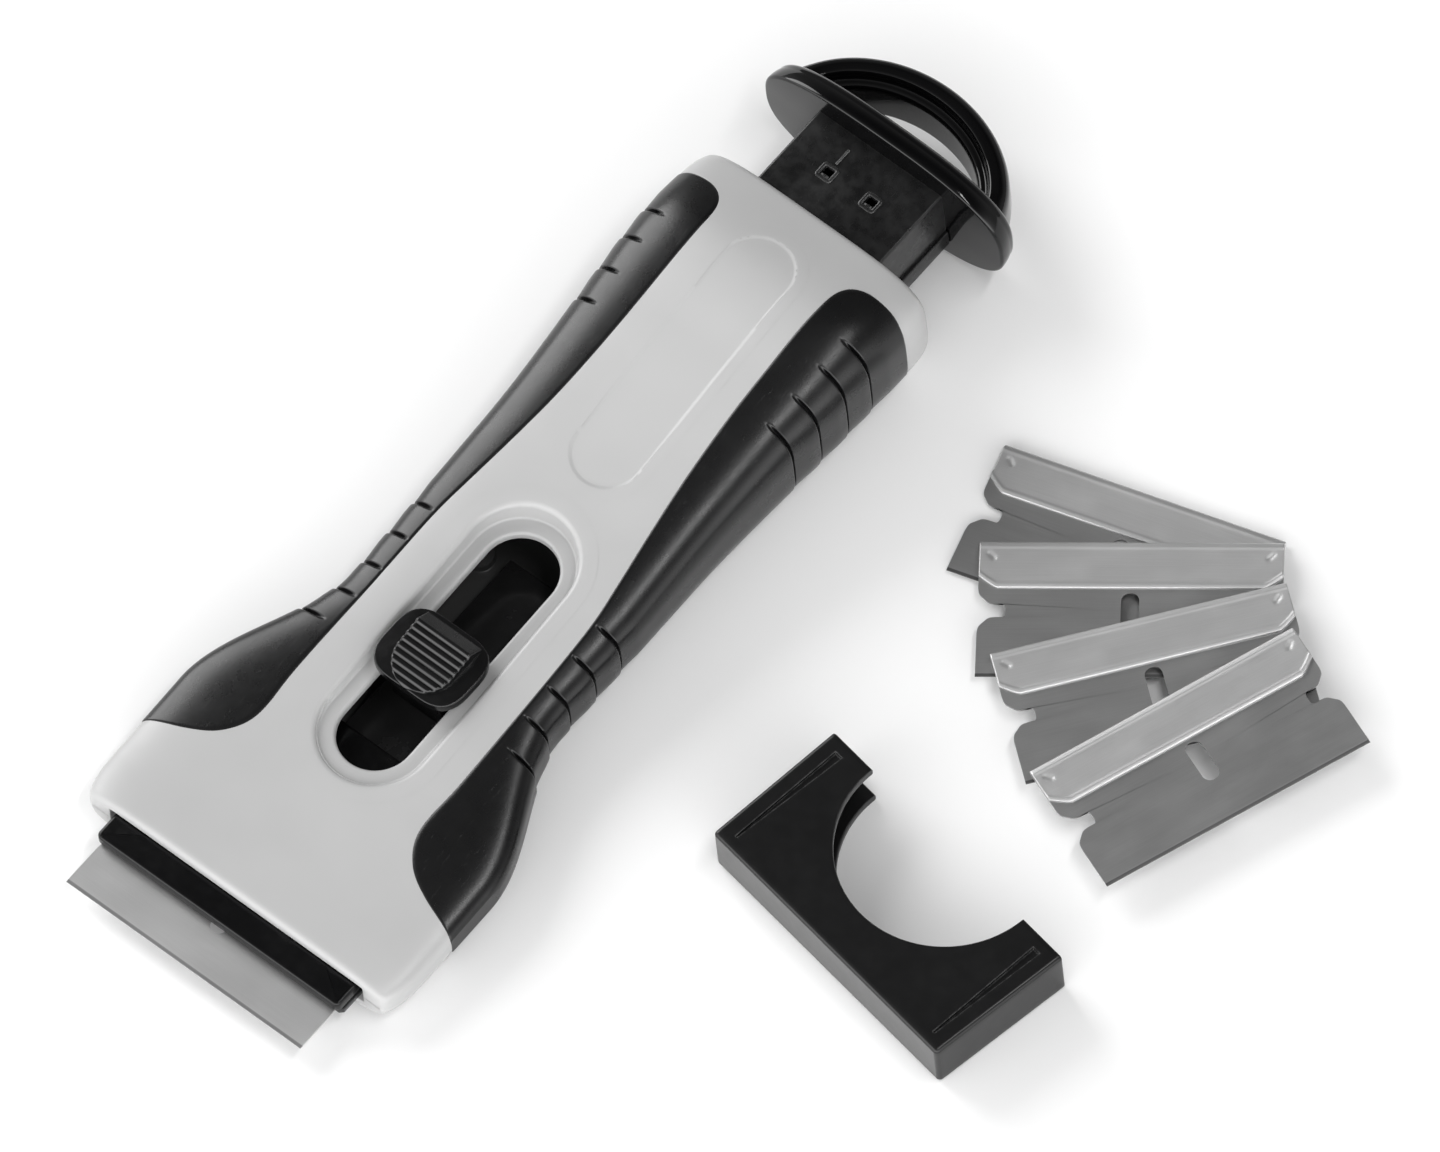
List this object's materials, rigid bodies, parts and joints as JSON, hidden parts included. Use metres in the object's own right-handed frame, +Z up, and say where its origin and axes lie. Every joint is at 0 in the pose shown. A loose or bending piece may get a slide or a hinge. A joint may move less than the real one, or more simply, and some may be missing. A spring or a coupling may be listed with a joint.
{
  "type": "glass scraper",
  "caption": "Hand scraper for ceramic hobs: sliding razor blade, soft side grips, pull-out blade store with hanging loop, lying beside its blade guard and spare blades.",
  "frame": {"origin": "middle of the scraper housing's flat underside, on the surface that everything lies on", "axes": "+Y along the scraper from the blade to the hanging loop, +X to the side where the guard and the spare blades lie, +Z up"},
  "size_m": [0.122, 0.1506, 0.0201],
  "materials": {
    "grey_plastic": "satin light grey",
    "grip_rubber": "satin black",
    "black_plastic": "black, slightly glossy",
    "store_plastic": "black satin",
    "gloss_black_plastic": "glossy black",
    "guard_plastic": "black satin",
    "blade_steel": "dull grey steel",
    "spine_steel": "bright satin steel",
    "screw_steel": "zinc-plated"
  },
  "bodies": {
    "housing": {"upper_housing": "grey_plastic", "lower_housing": "grey_plastic", "right_grip": "grip_rubber", "left_grip": "grip_rubber", "housing_screw_1": "screw_steel", "housing_screw_2": "screw_steel", "blade_guard": "guard_plastic", "spare_blade_1": "blade_steel", "spare_blade_1_spine": "spine_steel", "spare_blade_2": "blade_steel", "spare_blade_2_spine": "spine_steel", "spare_blade_3": "blade_steel", "spare_blade_3_spine": "spine_steel", "spare_blade_4": "blade_steel", "spare_blade_4_spine": "spine_steel"},
    "carriage": {"blade_carriage": "black_plastic", "blade_clamp": "black_plastic", "slider_button": "black_plastic", "working_blade": "blade_steel", "working_blade_spine": "spine_steel"},
    "store": {"drawer_tray": "store_plastic", "drawer_lid": "store_plastic", "rear_cap": "gloss_black_plastic"}
  },
  "joints": [
    {"name": "carriage_slide", "type": "slide", "parent": "housing", "child": "carriage", "axis": [0, -1, 0], "range_m": [-0.014, 0.008]},
    {"name": "store_slide", "type": "slide", "parent": "housing", "child": "store", "axis": [0, 1, 0], "range_m": [-0.0123, 0.028]}
  ]
}
